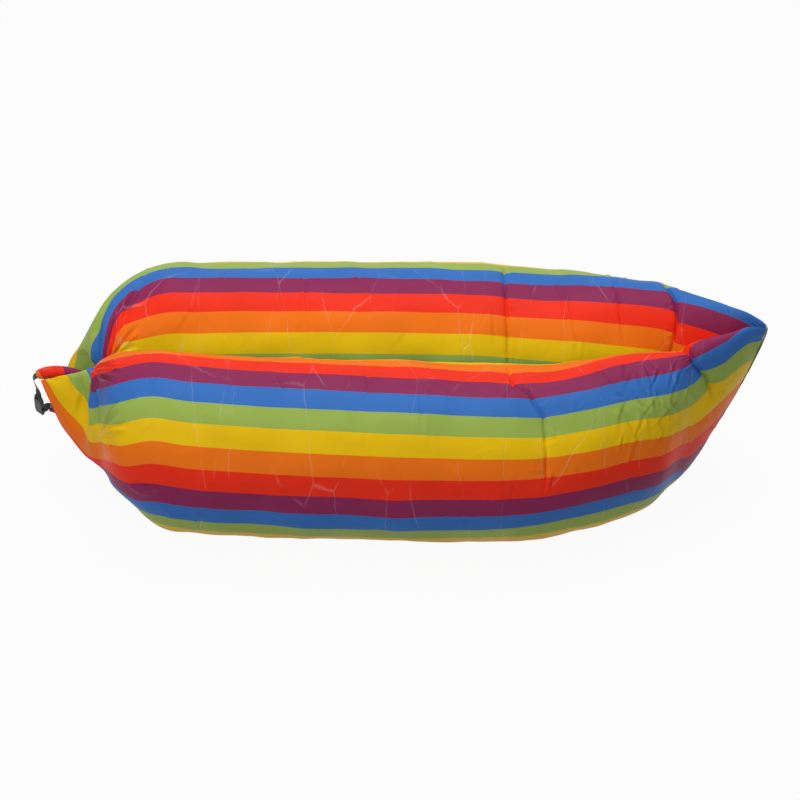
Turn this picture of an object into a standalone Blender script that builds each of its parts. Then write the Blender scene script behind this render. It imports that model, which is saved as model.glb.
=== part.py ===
"""Inflatable air lounger.

Two air chambers of one lay-flat width lie side by side, meet along a keel seam and close on a raked stem.
At the other end their fabric runs on as a flat mouth, which is rolled up, bent into a ring and held by a
side-release buckle. Metres, +Z up; +X points to the stem, -Y is the left chamber.
"""

import math

import bmesh
import bpy
import numpy as np
from mathutils import Matrix, Vector

# Driving sizes of the air chambers
LOUNGER_LENGTH = 1.856
TUBE_DIAMETER = 0.446
CHAMBER_WALL = 0.002
CHAMBER_GAP = 0.0026
FIT_GAP = 0.0003
SECTION_SIDES = 24
LIP_SPAN_STATIONS = 3

# Tucks sewn across each crest, which bend the chamber upwards
TUCK_DEPTH = 0.016
TUCK_WIDTH = 0.030
LEFT_TUCK_SHARES = (0.178, 0.392)
RIGHT_TUCK_SHARES = (0.155, 0.376)

# Seams
KEEL_SEAM_HEIGHT = 0.016
STEM_TAPE_WIDTH = 0.012
STEM_TAPE_THICKNESS = 0.002

# Rolled mouth: a spiral of fabric round two lip strips, bent into an open ring
RING_RADIUS = 0.085
RING_TILT = math.radians(20)
RING_UPPER_ARC = math.radians(122)
RING_LOWER_ARC = math.radians(114)
RING_X_SHARE = -0.464
RING_Z_SHARE = 0.547
ROLL_RADIUS = 0.0175
ROLL_CORE_RADIUS = 0.0068
ROLL_TURNS = 3
ROLL_LAYER_GAP = 0.0006
ROLL_TURN_POINTS = 9
RING_STATIONS = 17
LIP_STRIP_WIDTH = 0.0115
LIP_STRIP_THICKNESS = 0.001
LIP_STRIP_GAP = 0.0006
LIP_ANGLE = math.radians(100)
LEFT_LIP_LEAN = math.radians(90)
RIGHT_LIP_LEAN = math.radians(50)
LIP_THICKNESS = 0.012
LIP_END_WIDTH = 0.022
LEFT_LIP_WIDTH = 0.076
RIGHT_LIP_WIDTH = 0.040

# Side-release buckle, in its own frame: x across, y through, z up out of the socket's mouth. Its place is
# given from the ring's centre, in shares of the ring's radius.
BUCKLE_X_SHARE = -0.692
BUCKLE_Y_SHARE = 0.047
BUCKLE_Z_SHARE = -0.446
BUCKLE_TURN = math.radians(-45)
BUCKLE_WIDTH = 0.028
BUCKLE_THICKNESS = 0.011
BUCKLE_WALL = 0.0024
BUCKLE_EDGE = 0.0012
SOCKET_CAVITY_DEPTH = 0.0265
SOCKET_FLOOR = 0.0035
WINDOW_TOP = 0.0122
WINDOW_BOTTOM = 0.0252
PLUG_BLOCK_HEIGHT = 0.0057
STRAP_SLOT = 0.0046
RAIL_THICKNESS = 0.0060
BAR_RADIUS = 0.0016
TONGUE_WIDTH = 0.0048
TONGUE_THICKNESS = 0.0034
TONGUE_LENGTH = 0.0160
PRONG_INNER = 0.0062
PRONG_STEM = 0.0022
PRONG_REACH = 0.0132
PRONG_THICKNESS = 0.0050
PRONG_LENGTH = 0.0240
BARB_TOP = 0.0130
BARB_FLAT = 0.0040
BARB_TIP = 0.0094

# Webbing
WEBBING_WIDTH = 0.020
WEBBING_THICKNESS = 0.0014
WEBBING_TAIL = 0.020
WEBBING_RISE = 0.010
WEBBING_PULL_SHARE = 0.35
WEBBING_LEAD = 0.004
LOOP_STEPS = 8
RUN_STEPS = 7

# Overrun of a cutter past the faces that it opens, and how finely edges and bars are rounded
CUT_OVERRUN = 0.002
BEVEL_SEGMENTS = 2
ROD_SIDES = 12
SHARP_ANGLE = math.radians(40)

# Sections between the lip and the shoulder, each as four points: bottom, outer side, crest and inner
# side. A point is (share of length, share of diameter outwards, share of diameter upwards).
LEFT_MOUTH_SHARES = (
    ((-0.434, 0.112, 0.504), (-0.462, 0.206, 0.498), (-0.439, 0.191, 0.673), (-0.408, 0.040, 0.639)),
    ((-0.414, 0.168, 0.370), (-0.432, 0.325, 0.359), (-0.420, 0.152, 0.729), (-0.405, 0.007, 0.587)),
    ((-0.400, 0.280, 0.309), (-0.407, 0.549, 0.399), (-0.402, 0.269, 0.906), (-0.398, 0.007, 0.601)),
)
RIGHT_MOUTH_SHARES = (
    ((-0.437, 0.165, 0.345), (-0.462, 0.251, 0.348), (-0.450, 0.191, 0.639), (-0.408, 0.078, 0.572)),
    ((-0.423, 0.179, 0.291), (-0.446, 0.370, 0.381), (-0.435, 0.191, 0.774), (-0.404, 0.007, 0.587)),
    ((-0.407, 0.291, 0.235), (-0.423, 0.549, 0.460), (-0.416, 0.291, 0.908), (-0.399, 0.007, 0.601)),
)
# Sections from the mouth's shoulder to the stem: x of bottom and crest as shares of the length, then
# y of bottom and crest, z of bottom and crest, outer and inner half width as shares of the diameter.
BODY_SHARES = (
    (-0.372, -0.372, 0.383, 0.383, 0.2242, 0.994, 0.377, 0.390),
    (-0.318, -0.318, 0.417, 0.417, 0.0291, 1.047, 0.509, 0.424),
    (-0.264, -0.264, 0.442, 0.442, 0.0045, 1.031, 0.509, 0.448),
    (-0.156, -0.156, 0.471, 0.471, -0.0054, 1.016, 0.506, 0.478),
    (0.005, 0.005, 0.501, 0.501, -0.0054, 1.000, 0.499, 0.508),
    (0.113, 0.113, 0.520, 0.516, -0.0054, 0.984, 0.485, 0.525),
    (0.189, 0.189, 0.498, 0.498, -0.0054, 0.969, 0.471, 0.504),
    (0.248, 0.248, 0.448, 0.455, -0.0054, 0.987, 0.446, 0.459),
    (0.302, 0.310, 0.377, 0.381, -0.0022, 1.013, 0.395, 0.386),
    (0.348, 0.362, 0.296, 0.330, 0.0022, 1.031, 0.321, 0.320),
    (0.383, 0.404, 0.197, 0.247, 0.0067, 1.043, 0.242, 0.229),
    (0.405, 0.443, 0.112, 0.157, 0.0090, 1.047, 0.168, 0.141),
    (0.419, 0.473, 0.045, 0.076, 0.0112, 1.045, 0.090, 0.067),
    (0.425, 0.499, 0.011, 0.011, 0.0179, 1.031, 0.009, 0.018),
)
MOUTH_ROWS = 1 + len(LEFT_MOUTH_SHARES)


def clear_scene():
    for obj in list(bpy.data.objects):
        bpy.data.objects.remove(obj, do_unlink=True)


def material(name, colour, roughness):
    made = bpy.data.materials.new(name)
    made.use_nodes = True
    shader = made.node_tree.nodes["Principled BSDF"]
    shader.inputs["Base Color"].default_value = (*colour, 1.0)
    shader.inputs["Roughness"].default_value = roughness
    return made


def solid(name, points, faces, finish, smooth=True):
    """An object from points and faces, with its normals turned out."""
    mesh = bpy.data.meshes.new(name)
    mesh.from_pydata([tuple(p) for p in points], [], faces)
    shaped = bmesh.new()
    shaped.from_mesh(mesh)
    bmesh.ops.recalc_face_normals(shaped, faces=shaped.faces)
    shaped.to_mesh(mesh)
    shaped.free()
    if smooth:
        mesh.shade_smooth()
        mesh.set_sharp_from_angle(angle=SHARP_ANGLE)
    mesh.materials.append(finish)
    obj = bpy.data.objects.new(name, mesh)
    bpy.context.scene.collection.objects.link(obj)
    return obj


def ring_faces(first, second, sides):
    """Quads between two closed rings of points, given by the index of their first points."""
    return [
        (first + k, first + (k + 1) % sides, second + (k + 1) % sides, second + k)
        for k in range(sides)
    ]


def skin_faces(first, second, sides):
    """Triangles between two closed rings of points, so that both faces of a thin wall are split alike."""
    faces = []
    for k in range(sides):
        after = (k + 1) % sides
        faces += [(first + k, first + after, second + after), (first + k, second + after, second + k)]
    return faces


# Air chambers


def mouth_section(row):
    scale = np.array((LOUNGER_LENGTH, TUBE_DIAMETER, TUBE_DIAMETER))
    return np.array(row) * scale


def body_section(row):
    x_low, x_high, y_low, y_high, z_low, z_high, half_out, half_in = row
    low = np.array((x_low * LOUNGER_LENGTH, y_low * TUBE_DIAMETER, z_low * TUBE_DIAMETER))
    high = np.array((x_high * LOUNGER_LENGTH, y_high * TUBE_DIAMETER, z_high * TUBE_DIAMETER))
    middle = (low + high) / 2
    outwards = np.array((0, half_out * TUBE_DIAMETER, 0))
    inwards = np.array((0, half_in * TUBE_DIAMETER, 0))
    return np.array((low, middle + outwards, high, middle - inwards))


def lip_section(side):
    """The flat lip of one chamber, laid on the roll: left on the upper arm, right on the lower arm."""
    turn = -side
    angle = turn * LIP_ANGLE
    lean, inner_width = (LEFT_LIP_LEAN, LEFT_LIP_WIDTH) if side < 0 else (RIGHT_LIP_LEAN, RIGHT_LIP_WIDTH)
    away = ring_outward(angle) * math.cos(lean) + ring_normal() * (turn * math.sin(lean))
    free_end = ring_outward(angle + turn * math.pi / 2)
    near = ring_point(angle) + away * (roll_reach(angle, away) + FIT_GAP)
    far = near + away * LIP_THICKNESS
    middle = (near + far) / 2
    outer = middle + free_end * LIP_END_WIDTH
    inner = middle - free_end * inner_width
    low, high = (near, far) if side < 0 else (far, near)
    section = np.array((low, outer, high, inner))
    section[:, 1] *= side
    return section


def chamber_sections(side, mouth_rows):
    rows = [lip_section(side)] + [mouth_section(row) for row in mouth_rows]
    return np.array(rows + [body_section(row) for row in BODY_SHARES])


def section_at(sections, place):
    """The section at a place between rows, on a smooth curve through them."""
    last = len(sections) - 1
    row = min(int(place), last - 1)
    t = place - row
    here, after = sections[row], sections[row + 1]
    before = sections[row - 1] if row > 0 else 2 * here - after
    beyond = sections[row + 2] if row + 2 <= last else 2 * after - here
    rise = (after - before) * t
    bend = (2 * before - 5 * here + 4 * after - beyond) * t * t
    swing = (3 * here - before - 3 * after + beyond) * t**3
    return (2 * here + rise + bend + swing) / 2


def place_of(sections, x):
    """The place where the crest of the chamber passes x."""
    crest = sections[MOUTH_ROWS:, 2, 0]
    return MOUTH_ROWS + float(np.interp(x, crest, np.arange(len(crest))))


def chamber_stations(sections, tuck_shares):
    """Pairs of a section and how far a sewn tuck draws it in, from the mouth to the stem.

    The sleeve next to the lip turns fast and has more of them. A tuck takes the place of the rows beside it.
    """
    stations = [(k / LIP_SPAN_STATIONS, 0.0) for k in range(LIP_SPAN_STATIONS)]
    tucked = [
        [place_of(sections, share * LOUNGER_LENGTH + offset) for offset in (-TUCK_WIDTH, 0.0, TUCK_WIDTH)]
        for share in tuck_shares
    ]
    for before, middle, after in tucked:
        stations += [(before, 0.0), (middle, TUCK_DEPTH), (after, 0.0)]
    for row in range(1, len(sections)):
        if not any(before < row < after for before, _, after in tucked):
            stations.append((float(row), 0.0))
    return [(section_at(sections, place), depth) for place, depth in sorted(stations)]


def axes_cross(section):
    """The point nearest to both the bottom-crest line and the outer-inner line."""
    low, outer, high, inner = section
    upright, across, apart = high - low, inner - outer, low - outer
    a, b, c = upright @ upright, upright @ across, across @ across
    d, e = upright @ apart, across @ apart
    along_upright = (b * e - c * d) / (a * c - b * b)
    along_across = (a * e - b * d) / (a * c - b * b)
    return (low + along_upright * upright + outer + along_across * across) / 2


def held_off(points, side, wall=0):
    """Points kept on their side of the keel and above the floor."""
    points[..., 1] = side * np.maximum(side * points[..., 1], CHAMBER_GAP / 2 + wall)
    points[..., 2] = np.maximum(points[..., 2], wall)
    return points


def section_ring(section, tuck, side):
    """Points round one section: four quarter ellipses about the point where its axes cross."""
    centre = axes_cross(section)
    arms = section - centre
    reach = np.linalg.norm(arms, axis=1)
    arms = arms * (1 - np.array((0, 0, tuck, 0)) / reach)[:, None]
    points = []
    for k in range(SECTION_SIDES):
        turn = 4 * (k + 0.5) / SECTION_SIDES
        quarter = int(turn)
        angle = (turn - quarter) * math.pi / 2
        arm, next_arm = arms[quarter], arms[(quarter + 1) % 4]
        points.append(centre + math.cos(angle) * arm + math.sin(angle) * next_arm)
    return held_off(np.array(points) * (1, side, 1), side)


def wall_inside(outside, lip_centre, side):
    """The inner face of the cloth, a wall square to the outer one. The thin lip is scaled about its middle."""
    along = np.gradient(outside, axis=0)
    around = np.roll(outside, -1, axis=1) - np.roll(outside, 1, axis=1)
    normals = side * np.cross(around, along)
    normals /= np.linalg.norm(normals, axis=2, keepdims=True)
    inside = outside - CHAMBER_WALL * normals
    inside[0] = outside[0] + (lip_centre - outside[0]) * CHAMBER_WALL / (LIP_THICKNESS / 2)
    return held_off(inside, side, CHAMBER_WALL)


def air_chamber(name, side, mouth_rows, tuck_shares, finish):
    """A thin shell, open at the flat mouth and closed at the stem."""
    stations = chamber_stations(chamber_sections(side, mouth_rows), tuck_shares)
    outside = np.array([section_ring(section, tuck, side) for section, tuck in stations])
    inside = wall_inside(outside, axes_cross(stations[0][0]) * (1, side, 1), side)[:-1]
    sides, inner_start = SECTION_SIDES, SECTION_SIDES * len(outside)
    faces = ring_faces(0, inner_start, sides)
    for start, rings in ((0, len(outside)), (inner_start, len(inside))):
        for k in range(rings - 1):
            faces += skin_faces(start + k * sides, start + (k + 1) * sides, sides)
    faces.append(tuple(range(inner_start - sides, inner_start)))
    inner_end = inner_start + sides * len(inside)
    faces.append(tuple(range(inner_end - sides, inner_end)))
    points = np.concatenate((outside, inside)).reshape(-1, 3)
    return solid(name, points, faces, finish)


# Strips: seams, lip strips and webbing


def strip(name, path, across, width, thickness, finish):
    """A flat strip along a path; across holds the direction of its width at each point."""
    path = [Vector(p) for p in path]
    points = []
    for k, here in enumerate(path):
        along = (path[min(k + 1, len(path) - 1)] - path[max(k - 1, 0)]).normalized()
        sideways = Vector(across[k])
        sideways = (sideways - along * sideways.dot(along)).normalized()
        through = along.cross(sideways)
        for half_width, half_thickness in ((-1, -1), (1, -1), (1, 1), (-1, 1)):
            corner = sideways * (half_width * width / 2) + through * (half_thickness * thickness / 2)
            points.append(here + corner)
    corners = 4
    faces = []
    for k in range(len(path) - 1):
        faces += ring_faces(k * corners, (k + 1) * corners, corners)
    faces += [tuple(range(corners)), tuple(range(len(points) - corners, len(points)))]
    return solid(name, points, faces, finish)


def keel_seam(finish):
    """The seam between the chambers, along the line where they touch."""
    sections = chamber_sections(-1, LEFT_MOUTH_SHARES)[MOUTH_ROWS:-1]
    path = [(section[3][0], 0, section[3][2]) for section in sections]
    upright = [(0, 0, 1)] * len(path)
    strip("keel_seam", path, upright, KEEL_SEAM_HEIGHT, CHAMBER_GAP - 2 * FIT_GAP, finish)


def stem_seam(finish):
    """The tape over the closed ends of both chambers, from the floor to the tip of the stem."""
    low, _, high, _ = chamber_sections(-1, LEFT_MOUTH_SHARES)[-1]
    low, high = Vector((low[0], 0, low[2])), Vector((high[0], 0, high[2]))
    forward = (high - low).cross(Vector((0, -1, 0))).normalized()
    offset = forward * (FIT_GAP + STEM_TAPE_THICKNESS / 2)
    across = [(0, 1, 0)] * 2
    strip("stem_seam", (low + offset, high + offset), across, STEM_TAPE_WIDTH, STEM_TAPE_THICKNESS, finish)


# Rolled mouth


def ring_frame():
    centre = Vector((RING_X_SHARE * LOUNGER_LENGTH, 0, RING_Z_SHARE * TUBE_DIAMETER))
    right = Vector((1, 0, 0))
    up = Vector((0, -math.sin(RING_TILT), math.cos(RING_TILT)))
    return centre, right, up


def ring_point(angle, radius=RING_RADIUS):
    centre, right, up = ring_frame()
    return centre + right * (radius * math.cos(angle)) + up * (radius * math.sin(angle))


def ring_outward(angle):
    _, right, up = ring_frame()
    return right * math.cos(angle) + up * math.sin(angle)


def ring_normal():
    _, right, up = ring_frame()
    return right.cross(up)


def ring_angles():
    return [
        RING_UPPER_ARC - (RING_UPPER_ARC + RING_LOWER_ARC) * k / (RING_STATIONS - 1)
        for k in range(RING_STATIONS)
    ]


def roll_profile():
    """Outline points of the spiral layer as (outward, sideways), outer edge then inner edge."""
    pitch = (ROLL_RADIUS + ROLL_LAYER_GAP - ROLL_CORE_RADIUS) / (ROLL_TURNS + 1)
    layer = pitch - ROLL_LAYER_GAP
    outer, inner = [], []
    for k in range(ROLL_TURNS * ROLL_TURN_POINTS + 1):
        angle = 2 * math.pi * k / ROLL_TURN_POINTS
        radius = ROLL_CORE_RADIUS + pitch * k / ROLL_TURN_POINTS
        direction = np.array((math.cos(angle), math.sin(angle)))
        inner.append(direction * radius)
        outer.append(direction * (radius + layer))
    return outer, inner


def roll_reach(angle, direction):
    """How far the roll's section stands out from its middle in a direction."""
    outward, normal = ring_outward(angle), ring_normal()
    outer, _ = roll_profile()
    return max((outward * a + normal * b).dot(direction) for a, b in outer)


def mouth_roll(finish):
    """The rolled fabric: the spiral carried round the ring, open between its layers."""
    outer, inner = roll_profile()
    profile = outer + inner[::-1]
    sides, layers = len(profile), len(outer)
    points, faces = [], []
    for angle in ring_angles():
        outward, normal = ring_outward(angle), ring_normal()
        points += [ring_point(angle) + outward * a + normal * b for a, b in profile]
    for k in range(RING_STATIONS - 1):
        faces += ring_faces(k * sides, (k + 1) * sides, sides)
    last = sides * (RING_STATIONS - 1)
    for start in (0, last):
        for k in range(layers - 1):
            faces.append((start + k, start + k + 1, start + sides - 2 - k, start + sides - 1 - k))
    solid("mouth_roll", points, faces, finish)


def lip_strip(name, side, finish):
    """One of the two flexible strips sewn in the mouth's lips, in the core of the roll."""
    offset = side * (LIP_STRIP_THICKNESS + LIP_STRIP_GAP) / 2
    path = [ring_point(angle, RING_RADIUS + offset) for angle in ring_angles()]
    across = [ring_normal()] * len(path)
    strip(name, path, across, LIP_STRIP_WIDTH, LIP_STRIP_THICKNESS, finish)


# Buckle


def buckle_mount():
    mount = bpy.data.objects.new("buckle_mount", None)
    bpy.context.scene.collection.objects.link(mount)
    from_ring = Vector((BUCKLE_X_SHARE, BUCKLE_Y_SHARE, BUCKLE_Z_SHARE)) * RING_RADIUS
    mount.location = ring_frame()[0] + from_ring
    mount.rotation_euler = (0, 0, BUCKLE_TURN)
    return mount


def box(name, low, high, finish, bevel=0.0):
    """A box between two corners, its upright and flat edges rounded by a Bevel modifier."""
    size = [h - l for l, h in zip(low, high)]
    middle = [(h + l) / 2 for l, h in zip(low, high)]
    mesh = bpy.data.meshes.new(name)
    shaped = bmesh.new()
    place = Matrix.Translation(middle) @ Matrix.Diagonal((*size, 1))
    bmesh.ops.create_cube(shaped, size=1, matrix=place)
    shaped.to_mesh(mesh)
    shaped.free()
    mesh.materials.append(finish)
    obj = bpy.data.objects.new(name, mesh)
    bpy.context.scene.collection.objects.link(obj)
    if bevel:
        rounded = obj.modifiers.new("rounded_edges", "BEVEL")
        rounded.width = bevel
        rounded.segments = BEVEL_SEGMENTS
    return obj


def rod(name, radius, half_length, height, finish):
    """A round bar along x at one height."""
    mesh = bpy.data.meshes.new(name)
    shaped = bmesh.new()
    place = Matrix.Translation((0, 0, height)) @ Matrix.Rotation(math.pi / 2, 4, "Y")
    bmesh.ops.create_cone(
        shaped,
        cap_ends=True,
        segments=ROD_SIDES,
        radius1=radius,
        radius2=radius,
        depth=2 * half_length,
        matrix=place,
    )
    shaped.to_mesh(mesh)
    shaped.free()
    mesh.materials.append(finish)
    obj = bpy.data.objects.new(name, mesh)
    bpy.context.scene.collection.objects.link(obj)
    return obj


def combine(obj, helper, operation):
    """Adds or cuts a helper with an exact Boolean; the helper stays out of the part."""
    change = obj.modifiers.new(helper.name, "BOOLEAN")
    change.operation = operation
    change.object = helper
    helper.hide_render = True
    helper.display_type = "WIRE"
    helper.parent = obj


def strap_end(obj, label, start, direction, finish):
    """Two rails and the round bar that a webbing loops round, beyond a block's face."""
    end = start + direction * (STRAP_SLOT + 2 * BAR_RADIUS)
    inner = BUCKLE_WIDTH / 2 - BUCKLE_WALL - BUCKLE_EDGE
    root = start - direction * CUT_OVERRUN
    zs = sorted((root, end))
    for edge, side in (("front", 1), ("rear", -1)):
        xs = sorted((side * inner, side * (BUCKLE_WIDTH / 2 - FIT_GAP)))
        low = (xs[0], -RAIL_THICKNESS / 2, zs[0])
        high = (xs[1], RAIL_THICKNESS / 2, zs[1])
        rail = box(f"{label}_{edge}_rail", low, high, finish)
        combine(obj, rail, "UNION")
    height = end - direction * BAR_RADIUS
    bar = rod(f"{label}_bar", BAR_RADIUS, inner + BUCKLE_WALL / 2, height, finish)
    combine(obj, bar, "UNION")
    return height


def buckle_socket(mount, finish):
    """The female half: a flat case, open at its mouth, with a window in each side for a barb."""
    half, thick = BUCKLE_WIDTH / 2, BUCKLE_THICKNESS / 2
    floor_z = -(SOCKET_CAVITY_DEPTH + SOCKET_FLOOR)
    obj = box("buckle_socket", (-half, -thick, floor_z), (half, thick, 0), finish, BUCKLE_EDGE)
    cavity_half, cavity_thick = half - BUCKLE_WALL, thick - BUCKLE_WALL
    low = (-cavity_half, -cavity_thick, -SOCKET_CAVITY_DEPTH)
    combine(obj, box("socket_cavity", low, (cavity_half, cavity_thick, CUT_OVERRUN), finish), "DIFFERENCE")
    outside = half + CUT_OVERRUN
    low = (-outside, -cavity_thick, -WINDOW_BOTTOM)
    combine(obj, box("socket_windows", low, (outside, cavity_thick, -WINDOW_TOP), finish), "DIFFERENCE")
    bar_height = strap_end(obj, "socket", floor_z, -1, finish)
    obj.parent = mount
    return obj, bar_height


def buckle_plug(mount, finish):
    """The male half: a block on the socket's mouth, a guide tongue inside it and a bar above."""
    half, thick = BUCKLE_WIDTH / 2, BUCKLE_THICKNESS / 2
    top = FIT_GAP + PLUG_BLOCK_HEIGHT
    obj = box("buckle_plug", (-half, -thick, FIT_GAP), (half, thick, top), finish, BUCKLE_EDGE)
    low = (-TONGUE_WIDTH / 2, -TONGUE_THICKNESS / 2, -TONGUE_LENGTH)
    high = (TONGUE_WIDTH / 2, TONGUE_THICKNESS / 2, FIT_GAP + CUT_OVERRUN)
    combine(obj, box("plug_tongue", low, high, finish), "UNION")
    bar_height = strap_end(obj, "plug", top, 1, finish)
    obj.parent = mount
    return obj, bar_height


def release_prong(name, side, plug, finish):
    """A springy arm of the plug with a barb that catches under the socket's window."""
    stem_outer = PRONG_INNER + PRONG_STEM
    outline = (
        (PRONG_INNER, 0),
        (stem_outer, 0),
        (stem_outer, -BARB_TOP),
        (PRONG_REACH, -BARB_TOP),
        (PRONG_REACH, -BARB_TOP - BARB_FLAT),
        (BARB_TIP, -PRONG_LENGTH),
        (PRONG_INNER, -PRONG_LENGTH),
    )
    pivot_x = PRONG_INNER + PRONG_STEM / 2
    points = []
    for depth in (-PRONG_THICKNESS / 2, PRONG_THICKNESS / 2):
        points += [(side * (x - pivot_x), depth, z) for x, z in outline]
    sides = len(outline)
    faces = ring_faces(0, sides, sides) + [tuple(range(sides)), tuple(range(sides, 2 * sides))]
    obj = solid(name, points, faces, finish, smooth=False)
    obj.location = (side * pivot_x, 0, 0)
    obj.parent = plug
    return obj


# Webbing


def curve_points(start, start_pull, end_pull, end, steps):
    """Points of a cubic curve, without its last one."""
    made = []
    for k in range(steps):
        t = k / steps
        s = 1 - t
        made.append(start * s**3 + start_pull * (3 * s * s * t) + end_pull * (3 * s * t * t) + end * t**3)
    return made


def webbing(name, roll_angle, leaving, bar_centre, bar_axis, arrive, side_way, finish):
    """A strap from an end of the roll to a buckle bar: it loops round the bar and back on itself."""
    radius = BAR_RADIUS + FIT_GAP + WEBBING_THICKNESS / 2
    sewn = ring_point(roll_angle) + leaving * FIT_GAP
    start = sewn + leaving * WEBBING_LEAD
    into_loop = bar_centre + side_way * radius - arrive * WEBBING_RISE
    pull = WEBBING_PULL_SHARE * (into_loop - start).length
    path = [sewn] + curve_points(start, start + leaving * pull, into_loop - arrive * pull, into_loop, RUN_STEPS)
    across = [ring_normal()] + [ring_normal().lerp(bar_axis, k / RUN_STEPS) for k in range(RUN_STEPS)]
    path.append(into_loop)
    for k in range(LOOP_STEPS + 1):
        angle = math.pi * k / LOOP_STEPS
        path.append(bar_centre + side_way * (radius * math.cos(angle)) + arrive * (radius * math.sin(angle)))
    path.append(bar_centre - side_way * radius - arrive * WEBBING_TAIL)
    across += [bar_axis] * (len(path) - len(across))
    strip(name, path, across, WEBBING_WIDTH, WEBBING_THICKNESS, finish)


def build():
    clear_scene()
    left_cloth = material("left_chamber_cloth", (0.80, 0.07, 0.05), 0.45)
    right_cloth = material("right_chamber_cloth", (0.05, 0.20, 0.60), 0.45)
    roll_cloth = material("mouth_cloth", (0.90, 0.30, 0.05), 0.45)
    tape = material("seam_tape", (0.45, 0.60, 0.15), 0.6)
    lip_plastic = material("lip_strip_plastic", (0.75, 0.75, 0.72), 0.5)
    black_plastic = material("buckle_plastic", (0.02, 0.02, 0.022), 0.4)
    black_webbing = material("webbing", (0.015, 0.015, 0.017), 0.8)

    air_chamber("left_air_chamber", -1, LEFT_MOUTH_SHARES, LEFT_TUCK_SHARES, left_cloth)
    air_chamber("right_air_chamber", 1, RIGHT_MOUTH_SHARES, RIGHT_TUCK_SHARES, right_cloth)
    keel_seam(tape)
    stem_seam(tape)

    mouth_roll(roll_cloth)
    lip_strip("upper_lip_strip", 1, lip_plastic)
    lip_strip("lower_lip_strip", -1, lip_plastic)

    mount = buckle_mount()
    socket, socket_bar = buckle_socket(mount, black_plastic)
    plug, plug_bar = buckle_plug(mount, black_plastic)
    release_prong("front_release_prong", 1, plug, black_plastic)
    release_prong("rear_release_prong", -1, plug, black_plastic)

    bpy.context.view_layer.update()
    turned = Matrix.Rotation(BUCKLE_TURN, 3, "Z")
    bar_axis, through = turned @ Vector((1, 0, 0)), turned @ Vector((0, 1, 0))
    up = Vector((0, 0, 1))
    upper_leaving = ring_outward(RING_UPPER_ARC + math.pi / 2)
    lower_leaving = ring_outward(-RING_LOWER_ARC - math.pi / 2)
    plug_point = mount.location + up * plug_bar
    socket_point = mount.location + up * socket_bar
    webbing("plug_webbing", RING_UPPER_ARC, upper_leaving, plug_point, bar_axis, -up, through, black_webbing)
    webbing(
        "socket_webbing", -RING_LOWER_ARC, lower_leaving, socket_point, bar_axis, -through, up, black_webbing
    )


build()
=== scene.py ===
import math
import random

import bpy
import numpy as np
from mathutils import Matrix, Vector


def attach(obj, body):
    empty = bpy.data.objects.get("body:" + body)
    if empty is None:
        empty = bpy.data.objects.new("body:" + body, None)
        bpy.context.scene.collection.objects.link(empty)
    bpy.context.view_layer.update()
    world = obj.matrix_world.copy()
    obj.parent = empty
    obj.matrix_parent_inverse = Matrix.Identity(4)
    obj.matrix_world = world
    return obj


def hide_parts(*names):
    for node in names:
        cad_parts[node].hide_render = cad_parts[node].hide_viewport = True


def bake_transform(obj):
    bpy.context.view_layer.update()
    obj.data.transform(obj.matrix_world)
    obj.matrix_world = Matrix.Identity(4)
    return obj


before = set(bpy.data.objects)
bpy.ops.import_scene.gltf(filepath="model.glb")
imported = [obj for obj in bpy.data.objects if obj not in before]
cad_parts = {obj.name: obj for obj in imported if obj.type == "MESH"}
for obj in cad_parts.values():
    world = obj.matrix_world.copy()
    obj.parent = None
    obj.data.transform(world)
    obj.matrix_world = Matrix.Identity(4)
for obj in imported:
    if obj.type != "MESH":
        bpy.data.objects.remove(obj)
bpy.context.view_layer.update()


# Left air chamber: the near tube of the bag, of coated polyester taffeta with rainbow stripes along it.
# It is sewn shut on the raked stem, drawn in by two sewn tucks across its crest and held round by air, and
# it folds down into a flat sleeve that ends in the upper arm of the rolled mouth.

# Sections from the mouth to the stem: bottom, outer side, crest and inner side
LEFT_MOUTH = (
    ((-0.8759, 0.0454, 0.3165), (-0.8976, 0.0497, 0.3109),
     (-0.8759, 0.0530, 0.3200), (-0.8011, 0.0555, 0.3269)),
    ((-0.8055, 0.0500, 0.2248), (-0.8575, 0.0919, 0.2221),
     (-0.8180, 0.0660, 0.3330), (-0.7572, 0.0178, 0.2850)),
    ((-0.7684, 0.0749, 0.1700), (-0.7980, 0.1450, 0.1680),
     (-0.7560, 0.0740, 0.3420), (-0.7517, 0.0010, 0.2618)),
    ((-0.7540, 0.1000, 0.1620), (-0.7640, 0.1950, 0.1760),
     (-0.7550, 0.1080, 0.3660), (-0.7450, 0.0010, 0.2560)),
    ((-0.7380, 0.1249, 0.1500), (-0.7360, 0.2350, 0.1900),
     (-0.7320, 0.1300, 0.3960), (-0.7340, 0.0010, 0.2600)),
)
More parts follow.
